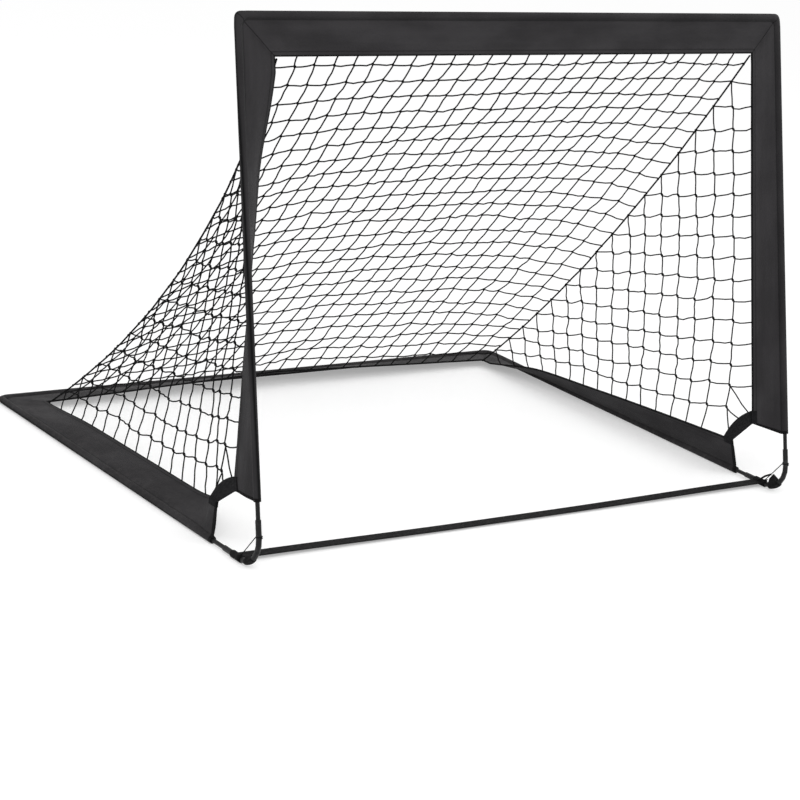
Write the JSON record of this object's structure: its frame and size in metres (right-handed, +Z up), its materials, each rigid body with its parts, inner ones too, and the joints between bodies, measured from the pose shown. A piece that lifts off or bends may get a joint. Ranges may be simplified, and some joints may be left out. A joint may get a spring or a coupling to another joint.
{
  "type": "folding soccer goal",
  "caption": "Folding soccer goal: a leaning front arch and a ground frame of thin rods in fabric sleeves, with sloping back and side nets and a strap along the goal line.",
  "frame": {"origin": "on the ground under the middle of the ground strap, which marks the goal line", "axes": "+X along the goal line to the right as seen by a player facing the goal, +Y into the goal, +Z up"},
  "size_m": [1.2, 0.948, 0.8872],
  "materials": {
    "rod_black": "satin fibreglass",
    "ferrule_steel": "drawn metal",
    "elbow_black": "satin black",
    "elbow_steel": "bright steel tube",
    "sleeve_fabric": "coated woven cloth",
    "webbing": "ribbed webbing",
    "cord_black": "braided cord",
    "net_cord": "knotted cord"
  },
  "bodies": {
    "left_end": {"front_elbow_left": "elbow_black", "post_rod_lower_left": "rod_black", "post_ferrule_left": "ferrule_steel", "side_rod_front_left": "rod_black", "side_ferrule_left": "ferrule_steel", "post_sleeve_lower_left": "sleeve_fabric", "side_sleeve_front_left": "sleeve_fabric", "corner_web_left": "webbing", "tie_cord_left": "cord_black", "strap_loop_left": "webbing", "edge_cord_left": "cord_black", "side_net_left": "net_cord", "roof_net": "net_cord", "ground_strap": "webbing"},
    "left_arch_half": {"top_elbow_left": "elbow_steel", "post_rod_upper_left": "rod_black", "crossbar_rod_left": "rod_black", "crossbar_ferrule_left": "ferrule_steel", "post_sleeve_upper_left": "sleeve_fabric", "crossbar_sleeve_left": "sleeve_fabric"},
    "right_arch_half": {"top_elbow_right": "elbow_steel", "post_rod_upper_right": "rod_black", "crossbar_rod_right": "rod_black", "crossbar_ferrule_right": "ferrule_steel", "post_sleeve_upper_right": "sleeve_fabric", "crossbar_sleeve_right": "sleeve_fabric"},
    "right_end": {"front_elbow_right": "elbow_black", "post_rod_lower_right": "rod_black", "post_ferrule_right": "ferrule_steel", "side_rod_front_right": "rod_black", "side_ferrule_right": "ferrule_steel", "post_sleeve_lower_right": "sleeve_fabric", "side_sleeve_front_right": "sleeve_fabric", "corner_web_right": "webbing", "tie_cord_right": "cord_black", "strap_loop_right": "webbing", "edge_cord_right": "cord_black", "side_net_right": "net_cord"},
    "left_base_half": {"rear_elbow_left": "elbow_steel", "side_rod_rear_left": "rod_black", "back_rod_left": "rod_black", "back_ferrule_left": "ferrule_steel", "side_sleeve_rear_left": "sleeve_fabric", "back_sleeve_left": "sleeve_fabric"},
    "right_base_half": {"rear_elbow_right": "elbow_steel", "side_rod_rear_right": "rod_black", "back_rod_right": "rod_black", "back_ferrule_right": "ferrule_steel", "side_sleeve_rear_right": "sleeve_fabric", "back_sleeve_right": "sleeve_fabric"}
  },
  "joints": [
    {"name": "left_arch_fold", "type": "hinge", "parent": "left_end", "child": "left_arch_half", "pos_m": [-0.5932, 0.03728, 0.45314], "axis": [0, -0.2419, -0.9703], "range_deg": [0, 80], "deforming": ["roof_net", "ground_strap"]},
    {"name": "crossbar_fold", "type": "hinge", "parent": "left_arch_half", "child": "right_arch_half", "pos_m": [0, 0.15072, 0.87874], "axis": [0, -0.2419, -0.9703], "range_deg": [-160, 0]},
    {"name": "right_arch_fold", "type": "hinge", "parent": "right_arch_half", "child": "right_end", "pos_m": [0.5932, 0.03728, 0.45314], "axis": [0, -0.2419, -0.9703], "range_deg": [0, 80]},
    {"name": "left_base_fold", "type": "hinge", "parent": "left_end", "child": "left_base_half", "pos_m": [-0.5932, 0.426, 0.0068], "axis": [0, -1, 0], "range_deg": [0, 80]},
    {"name": "right_base_fold", "type": "hinge", "parent": "right_end", "child": "right_base_half", "pos_m": [0.5932, 0.426, 0.0068], "axis": [0, 1, 0], "range_deg": [0, 80]}
  ],
  "couplings": [
    {"joint": "crossbar_fold", "follows": "left_arch_fold", "ratio": -2},
    {"joint": "right_arch_fold", "follows": "left_arch_fold", "ratio": 1},
    {"joint": "left_base_fold", "follows": "left_arch_fold", "ratio": 1},
    {"joint": "right_base_fold", "follows": "left_arch_fold", "ratio": 1}
  ]
}
